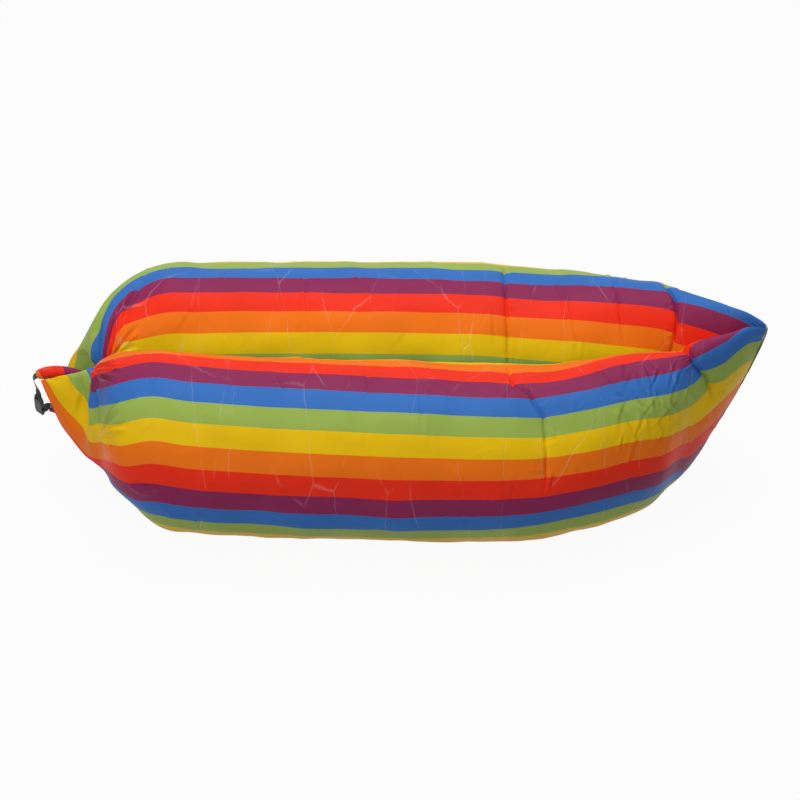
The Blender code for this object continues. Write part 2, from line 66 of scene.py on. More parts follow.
# Rows of x at the bottom and at the crest, y of both, height of both, width on the outer and inner side,
# and how far both sides reach forward of the line between bottom and crest
TUBE = (
    (-0.6904, -0.6904, 0.1708, 0.1708, 0.1000, 0.4433, 0.1681, 0.1739, 0.0000),
    (-0.5902, -0.5902, 0.1860, 0.1860, 0.0130, 0.4670, 0.2270, 0.1891, 0.0000),
    (-0.4900, -0.4900, 0.1971, 0.1971, 0.0020, 0.4598, 0.2270, 0.1998, 0.0000),
    (-0.2895, -0.2895, 0.2101, 0.2101, -0.0024, 0.4531, 0.2257, 0.2132, 0.0000),
    (0.0093, 0.0093, 0.2234, 0.2234, -0.0024, 0.4460, 0.2226, 0.2266, 0.0000),
    (0.2097, 0.2097, 0.2319, 0.2301, -0.0024, 0.4389, 0.2163, 0.2342, 0.0000),
    (0.3508, 0.3508, 0.2221, 0.2221, -0.0024, 0.4322, 0.2101, 0.2248, 0.0000),
    (0.4603, 0.4603, 0.1998, 0.2029, -0.0024, 0.4402, 0.1970, 0.2047, 0.0000),
    (0.5605, 0.5754, 0.1681, 0.1699, -0.0010, 0.4518, 0.1750, 0.1722, 0.0000),
    (0.6459, 0.6719, 0.1320, 0.1472, 0.0010, 0.4598, 0.1430, 0.1427, 0.0000),
    (0.7000, 0.7498, 0.0879, 0.1102, 0.0040, 0.4652, 0.0920, 0.1021, -0.0010),
    (0.7350, 0.8222, 0.0500, 0.0700, 0.0080, 0.4670, 0.0700, 0.0629, 0.0060),
    (0.7560, 0.8779, 0.0201, 0.0339, 0.0120, 0.4661, 0.0480, 0.0299, 0.0150),
    (0.7650, 0.9290, 0.0049, 0.0049, 0.0160, 0.4450, 0.0040, 0.0080, 0.0210),
)
CLOTH_STEP = 0.0056
TUCK_STEP = 0.0030
CLOTH_COLUMNS = 272
CLOTH_OFF_MIDDLE = 0.0006

# Width and depth of the placed folds, where the random ones lie along and over the tube, how many folds
# gather at a tuck and at a pinch, and how near the stem the cloth starts to fold
FOLD_SIZE = (0.0038, 0.0034)
DEEP_FOLD_SIZE = (0.0070, 0.0072)
LOOSE_FOLDS = 110
LOOSE_AREA = ((-0.72, 0.88), (-0.32, 0.50))
CRUMPLED = (0.54, 0.70)
CRUMPLED_OVER = (0.05, 0.27)
CRUMPLE_DEEPER = 1.7
TUCK_GATHERS = 16
PINCH_GATHERS = 11
HELD_BY_STEM = 0.007

# Creases are lines on the cloth in metres: place along the lounger, distance over the tube from its crest
# A tuck: its line, slit depth, how far it draws the cloth in, how widely before and after it, stripe slip
LEFT_TUCKS = (
    (
        ((0.277, -0.09), (0.285, 0.0), (0.302, 0.015), (0.322, 0.03), (0.336, 0.067), (0.356, 0.10),
         (0.359, 0.13), (0.363, 0.20), (0.363, 0.295)),
        0.0085, 0.007, 0.030, 0.030, 0.0,
    ),
    (
        ((0.697, -0.12), (0.723, 0.0), (0.748, 0.06), (0.781, 0.105), (0.797, 0.15), (0.801, 0.19)),
        0.0080, 0.020, 0.055, 0.009, 0.30,
    ),
)
LEFT_FOLDS = (
    ((0.479, -0.040), (0.517, 0.040), (0.565, 0.100)),
    ((0.529, 0.085), (0.558, 0.100)),
    ((0.532, 0.115), (0.558, 0.150), (0.582, 0.200), (0.586, 0.215)),
    ((0.578, 0.110), (0.615, 0.145)),
    ((0.593, -0.010), (0.610, 0.030), (0.621, 0.070), (0.622, 0.090)),
    ((0.613, 0.000), (0.635, 0.030)),
    ((0.642, 0.030), (0.625, 0.080)),
    ((0.632, 0.090), (0.644, 0.130)),
    ((0.728, 0.100), (0.704, 0.150)),
    ((0.584, 0.210), (0.568, 0.260)),
    ((0.635, 0.160), (0.652, 0.200), (0.632, 0.240)),
    ((0.377, 0.135), (0.389, 0.155)),
    ((0.379, 0.240), (0.369, 0.300)),
    ((-0.293, 0.000), (-0.270, 0.080)),
    ((-0.075, -0.030), (-0.070, 0.060)),
    ((0.054, 0.040), (0.059, 0.160)),
)
LEFT_DEEP_FOLDS = (
    ((-0.757, -0.020), (-0.757, 0.050), (-0.750, 0.120), (-0.728, 0.165)),
    ((-0.812, -0.020), (-0.795, 0.050), (-0.806, 0.110)),
    ((-0.650, 0.330), (-0.615, 0.345), (-0.560, 0.350)),
)
LEFT_CRUMPLES = 30
LEFT_SEED = 11
LEFT_PINCHES = ((-0.752, -0.015, -10, 75, 0.11), (-0.722, 0.165, -50, 70, 0.08))

STRIPE = 0.0553
STRIPE_START = 0.07
# Stripe numbers on each mouth section at its inner side, bottom, outer side, crest and inner side again
LEFT_MOUTH_STRIPES = (
    (11.0, 8.0, 4.9, 3.5, 1.0),
    (12.0, 9.0, 4.8, 2.9, 1.0),
    (14.5, 10.0, 5.0, 1.6, -1.5),
    (16.0, 11.0, 5.1, -0.15, -3.0),
    (17.5, 12.0, 5.3, -0.25, -4.5),
    (17.5, 12.0, 5.3, -0.6, -4.8),
)
# How many stripes the print runs ahead at places along the lounger, and ahead of that on the lower side
LEFT_DRIFT = ((0.60, 0.0), (0.74, 0.05), (0.82, 0.45), (0.884, 1.0), (0.93, 1.15))
LEFT_LOW_DRIFT = (
    (0.0, 0.0), (0.139, 0.10), (0.267, 0.20), (0.421, 0.30), (0.576, 0.20), (0.70, 0.0),
    (0.745, -0.30), (0.93, -0.30),
)
LEFT_COLOURS = ("purple", "blue", "green", "yellow", "orange", "red")
TAFFETA_COLOURS = {
    "red": (0.830, 0.030, 0.010),
    "orange": (0.850, 0.170, 0.008),
    "yellow": (0.800, 0.500, 0.004),
    "green": (0.300, 0.410, 0.075),
    "blue": (0.036, 0.150, 0.470),
    "purple": (0.245, 0.022, 0.088),
}


def tube_section(row):
    x_low, x_high, y_low, y_high, z_low, z_high, half_out, half_in, forward = row
    low, high = np.array((x_low, y_low, z_low)), np.array((x_high, y_high, z_high))
    middle = (low + high) / 2 + (forward, 0, 0)
    return low, middle + (0, half_out, 0), high, middle - (0, half_in, 0)


def smooth_between(rows, places):
    """Rows of numbers taken between the given ones, on smooth curves through them."""
    rows, last = np.asarray(rows, float), len(rows) - 1
    padded = np.concatenate([2 * rows[:1] - rows[1:2], rows, 2 * rows[-1:] - rows[-2:-1]])
    index = np.clip(places.astype(int), 0, last - 1)
    t = (places - index).reshape((-1,) + (1,) * (rows.ndim - 1))
    a, b, c, d = (padded[index + k] for k in range(4))
    return (2 * b + (c - a) * t + (2 * a - 5 * b + 4 * c - d) * t**2 + (3 * b - a - 3 * c + d) * t**3) / 2


def tube_rings(sections, turns):
    """Points on each section, on quarter ellipses from bottom to outer side, crest and inner side."""
    low, outer, high, inner = (sections[:, k] for k in range(4))
    upright, across, apart = high - low, inner - outer, low - outer
    dot = lambda p, q: (p * q).sum(axis=1)[:, None]
    a, b, c = dot(upright, upright), dot(upright, across), dot(across, across)
    d, e = dot(upright, apart), dot(across, apart)
    share_up = (b * e - c * d) / (a * c - b * b)
    share_across = (a * e - b * d) / (a * c - b * b)
    centre = (low + share_up * upright + outer + share_across * across) / 2
    arms = sections - centre[:, None]
    quarter = turns.astype(int) % 4
    angle = (turns % 1) * math.pi / 2
    leaving, coming = np.cos(angle)[:, None], np.sin(angle)[:, None]
    return centre[:, None] + leaving * arms[:, quarter] + coming * arms[:, (quarter + 1) % 4]


def on_its_side(points, side):
    """The tube held off its twin at the middle and off the ground."""
    points[..., 1] = side * np.maximum(side * points[..., 1], CLOTH_OFF_MIDDLE)
    points[..., 2] = np.maximum(points[..., 2], 0)
    return points


def cloth_places(sections, tucks):
    """Places along the tube, a step apart on its crest, and closer together where a tuck crosses it."""
    reaches = [(min(x for x, _ in tuck[0]) - 0.010, max(x for x, _ in tuck[0]) + 0.010) for tuck in tucks]
    reaches.append(CRUMPLED)
    places = []
    for k in range(len(sections) - 1):
        length = max(np.linalg.norm(sections[k + 1, 1:3] - sections[k, 1:3], axis=1).max(), 0.06)
        share = 0.0
        while share < 1 - 0.3 * TUCK_STEP / length:
            places.append(k + share)
            x = sections[k, 2, 0] + share * (sections[k + 1, 2, 0] - sections[k, 2, 0])
            tucked = any(low < x < high for low, high in reaches)
            share += (TUCK_STEP if tucked else CLOTH_STEP) / length
    return np.array(places + [len(sections) - 1.0])


def outward(points, side):
    along = np.gradient(points, axis=0)
    closed = np.concatenate([points[:, -2:-1], points, points[:, 1:2]], axis=1)
    around = (closed[:, 2:] - closed[:, :-2]) / 2
    normal = np.cross(around, along) * side
    return normal / np.maximum(np.linalg.norm(normal, axis=2, keepdims=True), 1e-9)


def beside_line(x, over, line):
    """For each place on the cloth, its distance from a line, below 0 before it, and its share along it."""
    lengths = [math.dist(p, q) for p, q in zip(line, line[1:])]
    nearest, beside, share = (np.full(x.shape, start) for start in (9.0, 0.0, 0.0))
    walked = 0.0
    for (x0, over0), (x1, over1), length in zip(line, line[1:], lengths):
        run, rise = (x1 - x0) / length, (over1 - over0) / length
        along = np.clip((x - x0) * run + (over - over0) * rise, 0, length)
        away_x, away_over = x - x0 - along * run, over - over0 - along * rise
        distance = np.hypot(away_x, away_over)
        closer = distance < nearest
        signed = distance * np.sign(away_x * rise - away_over * run)
        nearest = np.where(closer, distance, nearest)
        beside = np.where(closer, signed, beside)
        share = np.where(closer, (walked + along) / sum(lengths), share)
        walked += length
    return beside, share


def tuck_in(x, over, tuck):
    """How far a sewn tuck draws the cloth in, and how many stripes it hides."""
    line, slit_depth, pull_depth, before, after, slip = tuck
    beside, share = beside_line(x, over, line)
    held = 1 - np.abs(2 * share - 1) ** 8
    slit = slit_depth * np.exp(-((np.abs(beside) / 0.0032) ** 1.5))
    pull = pull_depth * np.exp(-np.abs(beside) / np.where(beside < 0, before, after))
    hidden = slip * np.clip(beside / 0.004 + 0.5, 0, 1) * np.exp(-np.maximum(beside, 0) / 0.15)
    return (slit + pull) * held, hidden * held


def fold_in(x, over, line, width, depth):
    """A soft fold in the cloth: a ridge on one side of its line and a groove on the other."""
    beside, share = beside_line(x, over, line)
    across = beside / width
    return depth * across * np.exp(0.5 - 0.5 * across**2) * (1 - (2 * share - 1) ** 2)


def loose_folds(drawn, count, x_range, over_range):
    """Short folds that lie mostly across the tube, each with a little bend."""
    folds = []
    for _ in range(count):
        middle = np.array((drawn.uniform(*x_range), drawn.uniform(*over_range)))
        heading = math.radians(drawn.gauss(90, 30))
        reach = np.array((math.cos(heading), math.sin(heading))) * drawn.uniform(0.014, 0.060)
        bend = np.array((-reach[1], reach[0])) * drawn.uniform(-0.3, 0.3)
        line = (middle - reach, middle + bend, middle + reach)
        folds.append((line, drawn.uniform(0.0028, 0.0060), drawn.uniform(0.0004, 0.0015)))
    return folds


def gathered_folds(drawn, tucks, pinches):
    """Folds that start at a sewn tuck and run off across it, and fans of folds from the pinched mouth."""
    folds = []
    for line, *_ in tucks:
        for _ in range(TUCK_GATHERS):
            place = drawn.uniform(0.1, len(line) - 1.1)
            start, end = np.array(line[int(place)]), np.array(line[int(place) + 1])
            root = start + (place % 1) * (end - start)
            heading = math.radians(drawn.gauss(0, 28)) + (0 if drawn.random() < 0.5 else math.pi)
            tip = root + np.array((math.cos(heading), math.sin(heading))) * drawn.uniform(0.015, 0.045)
            folds.append(((root, tip), drawn.uniform(0.0025, 0.0045), drawn.uniform(0.0008, 0.0018)))
    for x, over, first, last, reach in pinches:
        for k in range(PINCH_GATHERS):
            heading = math.radians(first + (last - first) * (k + drawn.uniform(0.2, 0.8)) / PINCH_GATHERS)
            tip = (x + reach * math.cos(heading), over + reach * math.sin(heading))
            far = drawn.uniform(0.45, 1.0)
            tip = (x + (tip[0] - x) * far, over + (tip[1] - over) * far)
            folds.append((((x, over), tip), drawn.uniform(0.0030, 0.0055), drawn.uniform(0.0035, 0.0070)))
    return folds


def uneven(drawn, x, over):
    """The slow unevenness of blown-up cloth, from shallow waves that run in all directions."""
    height = np.zeros(x.shape)
    for _ in range(20):
        wave = drawn.uniform(0.045, 0.24)
        heading, phase = drawn.uniform(0, math.pi), drawn.uniform(0, 2 * math.pi)
        run = x * math.cos(heading) + over * math.sin(heading)
        height += 0.0028 * wave * np.sin(2 * math.pi * run / wave + phase)
    return height


def puckers(drawn, turns, to_stem, to_mouth):
    """Small gathers: sharp ones along the stem seam, and long soft ones down the sleeve to the mouth."""
    height = np.zeros((len(to_stem), turns.shape[1]))
    at_stem, at_mouth = np.exp(-to_stem / 0.030), np.clip(1 - to_mouth / 0.20, 0, 1)
    for _ in range(7):
        stem_count, mouth_count = drawn.randint(22, 60), drawn.randint(5, 19)
        stem_phase, mouth_phase = drawn.uniform(0, 2 * math.pi), drawn.uniform(0, 2 * math.pi)
        height += 0.0005 * at_stem * np.sin(stem_count * turns + stem_phase)
        height += 0.0009 * at_mouth * np.sin(mouth_count * turns + mouth_phase + 9 * to_mouth)
    return height


def add_node(nodes, kind, inputs=None, **settings):
    """A shader node with its settings, and its inputs set by name or number."""
    made = nodes.new(f"ShaderNode{kind}")
    for setting, value in settings.items():
        setattr(made, setting, value)
    for place, value in (inputs or {}).items():
        made.inputs[place].default_value = value
    return made


def map_range(nodes, low, high, to_low, to_high):
    ends = {"From Min": low, "From Max": high, "To Min": to_low, "To Max": to_high}
    return add_node(nodes, "MapRange", ends)


def new_finish(name, specular):
    """A new material, with its nodes, links and shader."""
    made = bpy.data.materials.new(name)
    made.use_nodes = True
    shader = made.node_tree.nodes["Principled BSDF"]
    shader.inputs["Specular IOR Level"].default_value = specular
    return made, made.node_tree.nodes, made.node_tree.links, shader


def taffeta(name, order):
    """Coated polyester taffeta: dyed stripes, faint mottling, crumples, sharp creases with a painted
    highlight along them, and a plain weave.
    """
    made, nodes, links, shader = new_finish(name, 0.08)
    print_map = add_node(nodes, "UVMap", uv_map="print")
    across = add_node(nodes, "SeparateXYZ")
    links.new(print_map.outputs["UV"], across.inputs["Vector"])
    cycle = add_node(nodes, "Math", {1: float(len(order))}, operation="DIVIDE")
    links.new(across.outputs["X"], cycle.inputs[0])
    phase = add_node(nodes, "Math", operation="FRACT")
    links.new(cycle.outputs[0], phase.inputs[0])
    stripes = add_node(nodes, "ValToRGB")
    stripes.color_ramp.interpolation = "CONSTANT"
    for k, colour in enumerate(order):
        start = k / len(order)
        stop = stripes.color_ramp.elements[k] if k < 2 else stripes.color_ramp.elements.new(start)
        stop.position = start
        stop.color = (*TAFFETA_COLOURS[colour], 1.0)
    links.new(phase.outputs[0], stripes.inputs["Fac"])

    cloth_map = add_node(nodes, "UVMap", uv_map="cloth")
    ridges = {"Scale": 11.0, "Detail": 5.0, "Roughness": 0.55, "Distortion": 0.6}
    crumple = add_node(nodes, "TexNoise", ridges, noise_type="RIDGED_MULTIFRACTAL")
    mottle = add_node(nodes, "TexNoise", {"Scale": 7.0, "Detail": 4.0})
    weave_map = add_node(nodes, "Mapping", {"Scale": (2200.0, 2200.0, 1.0)})
    long_cells = add_node(nodes, "Mapping", {"Scale": (1.0, 0.30, 1.0)})
    for pattern in (crumple, mottle, weave_map, long_cells):
        links.new(cloth_map.outputs["UV"], pattern.inputs["Vector"])
    weave = add_node(nodes, "TexChecker", {"Scale": 1.0})
    links.new(weave_map.outputs["Vector"], weave.inputs["Vector"])

    # Sharp creases, mostly across the tube: the edges of long uneven cells, fading in and out
    bent = add_node(nodes, "VectorMath", {1: (0.035, 0.035, 0.0)}, operation="MULTIPLY_ADD")
    links.new(mottle.outputs["Color"], bent.inputs[0])
    links.new(long_cells.outputs["Vector"], bent.inputs[2])
    cells = add_node(nodes, "TexVoronoi", {"Scale": 8.0}, feature="DISTANCE_TO_EDGE")
    links.new(bent.outputs["Vector"], cells.inputs["Vector"])
    crease = map_range(nodes, 0.0, 0.013, 1.0, 0.0)
    links.new(cells.outputs["Distance"], crease.inputs["Value"])
    fading = map_range(nodes, 0.48, 0.62, 0.0, 1.0)
    links.new(mottle.outputs["Fac"], fading.inputs["Value"])
    creased = add_node(nodes, "Math", operation="MULTIPLY")
    links.new(crease.outputs["Result"], creased.inputs[0])
    links.new(fading.outputs["Result"], creased.inputs[1])
    # Painted highlight: along the crease lines the base colour is mixed toward near-white. This stands for
    # the sheen on the creases, and partly for rubbed coating.
    crease_highlight = add_node(nodes, "Math", {1: 0.11}, operation="MULTIPLY")
    links.new(creased.outputs[0], crease_highlight.inputs[0])

    worn = map_range(nodes, 0.2, 1.6, 0.48, 0.36)
    links.new(crumple.outputs["Fac"], worn.inputs["Value"])
    links.new(worn.outputs["Result"], shader.inputs["Roughness"])
    shade = map_range(nodes, 0.3, 0.7, 0.95, 1.05)
    links.new(mottle.outputs["Fac"], shade.inputs["Value"])
    tint = add_node(nodes, "VectorMath", operation="SCALE")
    links.new(stripes.outputs["Color"], tint.inputs[0])
    links.new(shade.outputs["Result"], tint.inputs["Scale"])
    # A colour mix has its factor in place 0, its colours in 6 and 7, and its result in 2
    # The near-white mixed in here is the painted highlight on the creases
    lightened = add_node(nodes, "Mix", {7: (0.9, 0.9, 0.88, 1.0)}, data_type="RGBA")
    links.new(crease_highlight.outputs[0], lightened.inputs[0])
    links.new(tint.outputs["Vector"], lightened.inputs[6])
    links.new(lightened.outputs[2], shader.inputs["Base Color"])

    height = None
    reliefs = (
        (crumple.outputs["Fac"], 0.0018),
        (creased.outputs[0], 0.0016),
        (weave.outputs["Fac"], 0.00002),
    )
    for source, distance in reliefs:
        bump = add_node(nodes, "Bump", {"Strength": 0.5, "Distance": distance})
        links.new(source, bump.inputs["Height"])
        if height:
            links.new(height.outputs["Normal"], bump.inputs["Normal"])
        height = bump
    links.new(height.outputs["Normal"], shader.inputs["Normal"])
    return made


def grid_mesh(name, points, prints, cloths, flip, material):
    """A closed tube from rings of points, whose last column is the first again, with both maps and ends."""
    rings, columns = len(points), points.shape[1] - 1
    here = np.arange(rings * columns).reshape(rings, columns)
    beyond = np.roll(here, -1, axis=1)
    quads = np.stack([here[:-1], beyond[:-1], beyond[1:], here[1:]], axis=-1).reshape(-1, 4)

    def at_corners(values):
        corners = (values[:-1, :-1], values[:-1, 1:], values[1:, 1:], values[1:, :-1])
        return np.stack(corners, axis=2).reshape(-1, 4, 2)

    maps = [at_corners(prints), at_corners(cloths)]
    if flip:
        quads, maps = quads[:, ::-1], [values[:, ::-1] for values in maps]
    faces = quads.tolist()
    maps = [values.reshape(-1, 2) for values in maps]
    for ring, step in ((0, 1 if flip else -1), (rings - 1, -1 if flip else 1)):
        faces.append(here[ring][::step].tolist())
        ends = [values[ring, :-1][::step] for values in (prints, cloths)]
        maps = [np.concatenate([values, end]) for values, end in zip(maps, ends)]
    mesh = bpy.data.meshes.new(name)
    mesh.from_pydata(points[:, :-1].reshape(-1, 3).tolist(), [], faces)
    for layer, values in zip(("print", "cloth"), maps):
        mesh.uv_layers.new(name=layer).data.foreach_set("uv", values.astype(np.float32).ravel())
    mesh.shade_smooth()
    mesh.materials.append(material)
    made = bpy.data.objects.new(name, mesh)
    bpy.context.scene.collection.objects.link(made)
    return made


def stripes_ahead(x, drift):
    return np.interp(x, [place for place, _ in drift], [ahead for _, ahead in drift])


def air_chamber(
    name, side, mouth, mouth_stripes, drift, low_drift, order,
    tucks, folds, deep_folds, crumples, pinches, seed,
):
    """One tube of the bag: its folded and gathered cloth, printed with its stripes."""
    sections = np.array(list(mouth) + [tube_section(row) for row in TUBE])
    places = cloth_places(sections, tucks)
    turns = 3 + 4 * np.arange(CLOTH_COLUMNS + 1) / CLOTH_COLUMNS
    points = tube_rings(smooth_between(sections, places), turns)
    points[..., 1] *= side
    points = on_its_side(points, side)

    # Cloth measures: how far along the crest, and how far over it towards the outer side
    crest = CLOTH_COLUMNS * 3 // 4
    steps = np.linalg.norm(np.diff(points[:, crest], axis=0), axis=1)
    along = np.concatenate([[0], np.cumsum(steps)])[:, None]
    around = np.cumsum(np.linalg.norm(np.diff(points, axis=1), axis=2), axis=1)
    around = np.concatenate([np.zeros((len(points), 1)), around], axis=1)
    over = around[:, crest : crest + 1] - around
    x = points[..., 0]

    drawn = random.Random(seed)
    depth = uneven(drawn, x, over)
    depth += puckers(drawn, turns[None, :] * math.pi / 2, along[-1] - along, along)
    hidden_stripes = np.zeros(x.shape)
    for tuck in tucks:
        drawn_in, hidden = tuck_in(x, over, tuck)
        depth += drawn_in
        hidden_stripes += hidden
    for line in folds:
        depth += fold_in(x, over, line, *FOLD_SIZE)
    for line in deep_folds:
        depth += fold_in(x, over, line, *DEEP_FOLD_SIZE)
    for line, width, deep in gathered_folds(drawn, tucks, pinches):
        depth += fold_in(x, over, line, width, deep)
    for line, width, deep in loose_folds(drawn, LOOSE_FOLDS, *LOOSE_AREA):
        depth += fold_in(x, over, line, width, deep)
    for line, width, deep in loose_folds(drawn, crumples, CRUMPLED, CRUMPLED_OVER):
        depth += fold_in(x, over, line, width, CRUMPLE_DEEPER * deep)
    depth *= 1 - np.exp(-(along[-1] - along) / HELD_BY_STEM)
    points = on_its_side(points - outward(points, side) * depth[..., None], side)
    points[:, -1] = points[:, 0]

    knots = np.array((3, 4, 5, 6, 7), float)
    mouth_rows = smooth_between(mouth_stripes, np.minimum(places, len(mouth_stripes) - 1))
    mouth_print = np.array([np.interp(turns, knots, row) for row in mouth_rows])
    tube_print = over / STRIPE + STRIPE_START + stripes_ahead(x, drift) + hidden_stripes
    tube_print += stripes_ahead(x, low_drift) * np.clip(over / 0.25, 0, 1.6) ** 2
    lean = np.clip((places - (len(mouth) - 1)) / 2, 0, 1)[:, None]
    lean = lean * lean * (3 - 2 * lean)
    stripe = mouth_print * (1 - lean) + tube_print * lean
    lengthwise = np.broadcast_to(along, stripe.shape)
    prints = np.stack([stripe, lengthwise], axis=-1)
    cloths = np.stack([lengthwise, over], axis=-1)

    chamber = grid_mesh(name, points, prints, cloths, side > 0, taffeta(f"{name}_taffeta", order))
    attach(chamber, "lounger")
    return chamber


left_chamber = air_chamber(
    "left_chamber_cloth", -1, LEFT_MOUTH, LEFT_MOUTH_STRIPES, LEFT_DRIFT, LEFT_LOW_DRIFT, LEFT_COLOURS,
    LEFT_TUCKS, LEFT_FOLDS, LEFT_DEEP_FOLDS, LEFT_CRUMPLES, LEFT_PINCHES, LEFT_SEED,
)
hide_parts("left_air_chamber")


# Right air chamber: the far tube, of the same striped taffeta, sewn to the left one along the keel. Its
# stripes start one colour later, its tucks are sewn closer to the mouth than the left tube's, and its
# sleeve folds down behind the ring and ends in the lower arm of the rolled mouth.

RIGHT_MOUTH = (
    ((-0.8793, 0.0565, 0.1554), (-0.9003, 0.0496, 0.1610),
     (-0.8779, 0.0453, 0.1594), (-0.8392, 0.0533, 0.1509)),
    ((-0.8111, 0.0736, 0.1539), (-0.8575, 0.1119, 0.1552),
     (-0.8352, 0.0852, 0.2800), (-0.7572, 0.0348, 0.2551)),
    ((-0.7851, 0.0798, 0.1298), (-0.8240, 0.1600, 0.1699),
     (-0.8074, 0.0852, 0.3300), (-0.7498, 0.0010, 0.2618)),
    ((-0.7554, 0.1298, 0.1048), (-0.7760, 0.2250, 0.2052),
     (-0.7520, 0.1298, 0.4170), (-0.7405, 0.0010, 0.2680)),
)
RIGHT_TUCKS = (
    (((0.2890, -0.33), (0.2876, -0.27), (0.280, 0.0), (0.285, 0.10)), 0.0080, 0.004, 0.012, 0.040, 0.0),
    (
        ((0.6900, -0.210), (0.7015, -0.158), (0.712, -0.09), (0.709, -0.04), (0.699, 0.005), (0.686, 0.06)),
        0.0085, 0.008, 0.020, 0.030, 0.45,
    ),
)
RIGHT_FOLDS = (
    ((0.460, -0.200), (0.440, -0.080), (0.408, 0.030)),
    ((0.575, -0.170), (0.555, 0.030)),
    ((-0.221, -0.200), (-0.247, 0.050)),
    ((-0.088, -0.060), (-0.113, 0.050)),
    ((0.2465, -0.210), (0.2413, -0.100)),
)
RIGHT_DEEP_FOLDS = (
    ((-0.765, -0.110), (-0.768, -0.045), (-0.728, 0.010)),
    ((-0.700, -0.120), (-0.690, -0.060), (-0.650, 0.010)),
)
RIGHT_CRUMPLES = 10
RIGHT_SEED = 23
RIGHT_PINCHES = ((-0.735, -0.19, -10, 85, 0.12),)
RIGHT_MOUTH_STRIPES = (
    (12.0, 8.5, 5.0, 2.4, 0.6),
    (13.0, 9.0, 5.0, 2.2, 0.5),
    (15.0, 9.4, 3.8, 1.75, 0.2),
    (16.0, 9.8, 3.0, 1.65, -1.4),
    (16.0, 11.0, 5.5, 1.35, -6.1),
)
RIGHT_DRIFT = (
    (-0.40, 0.0), (-0.119, 0.10), (0.139, 0.22), (0.267, 0.25), (0.421, 0.22), (0.576, 0.08), (0.69, 0.08),
    (0.88, 0.30),
)
RIGHT_LOW_DRIFT = ((0.0, 0.0), (1.0, 0.0))
RIGHT_COLOURS = ("blue", "green", "yellow", "orange", "red", "purple")

right_chamber = air_chamber(
    "right_chamber_cloth", 1, RIGHT_MOUTH, RIGHT_MOUTH_STRIPES, RIGHT_DRIFT, RIGHT_LOW_DRIFT, RIGHT_COLOURS,
    RIGHT_TUCKS, RIGHT_FOLDS, RIGHT_DEEP_FOLDS, RIGHT_CRUMPLES, RIGHT_PINCHES, RIGHT_SEED,
)
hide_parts("right_air_chamber")


# Keel seam and stem seam: folded taffeta tape that binds the raw edges of both tubes, one on the line where
# they touch and one over the raked stem. The stem's tape is sewn through with two rows of green lockstitch.

TAPE_GREEN = (0.310, 0.455, 0.100)
THREAD_GREEN = (0.42, 0.56, 0.20)
STITCH_PITCH = 0.0062
STITCH_LENGTH = 0.0044
STITCH_RADIUS = 0.00045


def woven(name, colour, roughness, rib_pitch, rib_depth, mottling):
    """Narrow woven goods: ribs across the width, uneven dye and a fuzzy sheen."""
    made, nodes, links, shader = new_finish(name, 0.3)
    shader.inputs["Roughness"].default_value = roughness
    shader.inputs["Sheen Weight"].default_value = 0.15
    strip_map = add_node(nodes, "UVMap", uv_map="cloth")
    waves = {"Scale": math.pi / (10 * rib_pitch), "Distortion": 0.8, "Detail Scale": 2.0}
    ribs = add_node(nodes, "TexWave", waves, wave_type="BANDS", bands_direction="X")
    dye = add_node(nodes, "TexNoise", {"Scale": 90.0, "Detail": 4.0})
    for pattern in (ribs, dye):
        links.new(strip_map.outputs["UV"], pattern.inputs["Vector"])
    shade = map_range(nodes, 0.0, 1.0, 1 - mottling, 1 + mottling)
    links.new(dye.outputs["Fac"], shade.inputs["Value"])
    tint = add_node(nodes, "VectorMath", {0: colour}, operation="SCALE")
    links.new(shade.outputs["Result"], tint.inputs["Scale"])
    links.new(tint.outputs["Vector"], shader.inputs["Base Color"])
    bump = add_node(nodes, "Bump", {"Strength": 0.6, "Distance": rib_depth})
    links.new(ribs.outputs["Fac"], bump.inputs["Height"])
    links.new(bump.outputs["Normal"], shader.inputs["Normal"])
    return made


def strip_frames(path, across):
    """For points along a strip: its direction, the direction of its width and of its thickness."""
    along = np.gradient(path, axis=0)
    along /= np.linalg.norm(along, axis=1, keepdims=True)
    sideways = across - along * (along * across).sum(axis=1, keepdims=True)
    sideways /= np.linalg.norm(sideways, axis=1, keepdims=True)
    return along, sideways, np.cross(along, sideways)


def woven_strip(name, path, across, width, thickness, material, ripple=0.0):
    """A strip with rounded, slightly thicker edges along a path; ripple waves its edges."""
    _, sideways, through = strip_frames(path, across)
    sides = 16
    outline = []
    for k in range(sides + 1):
        angle = 2 * math.pi * (k + 0.5) / sides
        wide = math.copysign(abs(math.cos(angle)) ** 0.35, math.cos(angle))
        thick = math.copysign(abs(math.sin(angle)) ** 0.8, math.sin(angle)) * (0.86 + 0.14 * wide**4)
        outline.append((wide * width / 2, thick * thickness / 2))
    outline = np.array(outline)
    walked = np.concatenate([[0], np.cumsum(np.linalg.norm(np.diff(path, axis=0), axis=1))])
    wave = ripple * np.sin(walked / 0.0085 + 1.3 * np.sin(walked / 0.023))
    widths, depths = outline[None, :, :1] * sideways[:, None], outline[None, :, 1:] * through[:, None]
    points = path[:, None] + widths + depths
    edge = (outline[:, 0] / (width / 2)) ** 3
    points += (wave[:, None] * edge[None])[..., None] * through[:, None]
    girth = np.concatenate([[0], np.cumsum(np.linalg.norm(np.diff(outline, axis=0), axis=1))])
    shape = (len(path), sides + 1)
    along_strip, round_strip = np.broadcast_to(walked[:, None], shape), np.broadcast_to(girth[None], shape)
    cloths = np.stack([along_strip, round_strip], axis=-1)
    return grid_mesh(name, points, cloths, cloths, True, material)


